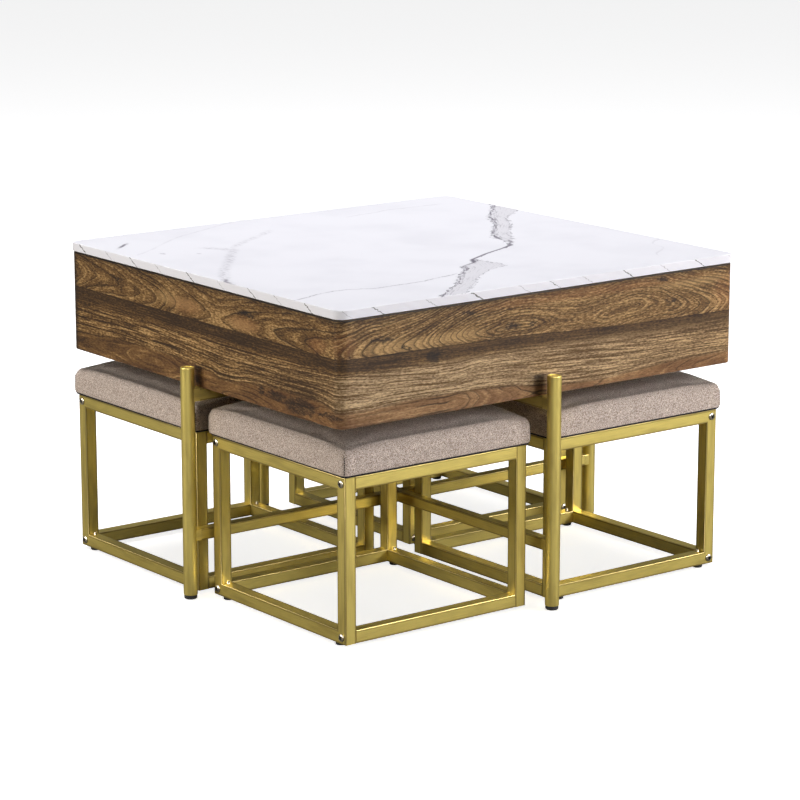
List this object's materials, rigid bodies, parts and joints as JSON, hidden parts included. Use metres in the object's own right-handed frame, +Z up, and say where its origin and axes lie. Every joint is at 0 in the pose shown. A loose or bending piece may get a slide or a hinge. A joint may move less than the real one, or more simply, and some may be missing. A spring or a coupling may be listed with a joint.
{
  "type": "lift-top coffee table with stools",
  "caption": "Square coffee table whose slab top lifts on hinged arms over a storage box; padded cube stools tuck beneath, between round posts and crossed beams.",
  "frame": {"origin": "on the floor, under the middle of the table", "axes": "+Z up; -Y is the front that the lifted top moves towards; +X to the right seen from the front"},
  "size_m": [0.838, 0.796, 0.51],
  "materials": {
    "marble": "polished white marble with grey veins",
    "walnut": "satin walnut veneer, grain level around the box",
    "brass_metal": "satin antique brass coating on steel",
    "rubber": "black, matte",
    "dark_steel": "dark satin paint",
    "fabric": "taupe woven upholstery, heathered"
  },
  "bodies": {
    "table": {"box_panel_back": "walnut", "box_panel_left": "walnut", "box_panel_front": "walnut", "box_panel_right": "walnut", "box_bottom": "walnut", "post_left": "brass_metal", "post_foot_left": "rubber", "post_front": "brass_metal", "post_foot_front": "rubber", "post_right": "brass_metal", "post_foot_right": "rubber", "post_back": "brass_metal", "post_foot_back": "rubber", "upper_beam_front_back": "brass_metal", "upper_beam_left_right": "brass_metal", "lower_beam_front_back": "brass_metal", "lower_beam_left_right": "brass_metal", "lift_base_left": "dark_steel", "lift_base_right": "dark_steel"},
    "top": {"top_slab": "marble", "lift_top_plate_left": "dark_steel", "lift_top_plate_right": "dark_steel"},
    "front_arms": {"lift_arm_front_left": "dark_steel", "lift_arm_front_right": "dark_steel", "lift_cross_bar": "dark_steel"},
    "rear_arms": {"lift_arm_rear_left": "dark_steel", "lift_arm_rear_right": "dark_steel"},
    "front_stool": {"front_stool_side_frame_a": "brass_metal", "front_stool_side_frame_b": "brass_metal", "front_stool_lower_rail_a": "brass_metal", "front_stool_upper_rail_a": "brass_metal", "front_stool_lower_rail_b": "brass_metal", "front_stool_upper_rail_b": "brass_metal", "front_stool_cushion": "fabric"},
    "left_stool": {"left_stool_side_frame_a": "brass_metal", "left_stool_side_frame_b": "brass_metal", "left_stool_lower_rail_a": "brass_metal", "left_stool_upper_rail_a": "brass_metal", "left_stool_lower_rail_b": "brass_metal", "left_stool_upper_rail_b": "brass_metal", "left_stool_cushion": "fabric"},
    "right_stool": {"right_stool_side_frame_a": "brass_metal", "right_stool_side_frame_b": "brass_metal", "right_stool_lower_rail_a": "brass_metal", "right_stool_upper_rail_a": "brass_metal", "right_stool_lower_rail_b": "brass_metal", "right_stool_upper_rail_b": "brass_metal", "right_stool_cushion": "fabric"},
    "back_stool": {"back_stool_side_frame_a": "brass_metal", "back_stool_side_frame_b": "brass_metal", "back_stool_lower_rail_a": "brass_metal", "back_stool_upper_rail_a": "brass_metal", "back_stool_lower_rail_b": "brass_metal", "back_stool_upper_rail_b": "brass_metal", "back_stool_cushion": "fabric"}
  },
  "joints": [
    {"name": "lift", "type": "hinge", "parent": "table", "child": "front_arms", "pos_m": [0, -0.18, 0.42992], "axis": [1, 0, 0], "range_deg": [0, 70]},
    {"name": "rear_arm_hinge", "type": "hinge", "parent": "table", "child": "rear_arms", "pos_m": [0, -0.09, 0.42992], "axis": [1, 0, 0], "range_deg": [0, 70]},
    {"name": "top_hinge", "type": "hinge", "parent": "front_arms", "child": "top", "pos_m": [0, 0.01563, 0.4715], "axis": [1, 0, 0], "range_deg": [-70, 0]},
    {"name": "front_stool_slide", "type": "slide", "parent": "table", "child": "front_stool", "axis": [0, -1, 0], "range_m": [0, 0.45]},
    {"name": "left_stool_slide", "type": "slide", "parent": "table", "child": "left_stool", "axis": [0, 1, 0], "range_m": [0, 0.45]},
    {"name": "right_stool_slide", "type": "slide", "parent": "table", "child": "right_stool", "axis": [0, -1, 0], "range_m": [0, 0.45]},
    {"name": "back_stool_slide", "type": "slide", "parent": "table", "child": "back_stool", "axis": [0, 1, 0], "range_m": [0, 0.45]}
  ],
  "couplings": [
    {"joint": "rear_arm_hinge", "follows": "lift", "ratio": 1},
    {"joint": "top_hinge", "follows": "lift", "ratio": -1}
  ]
}
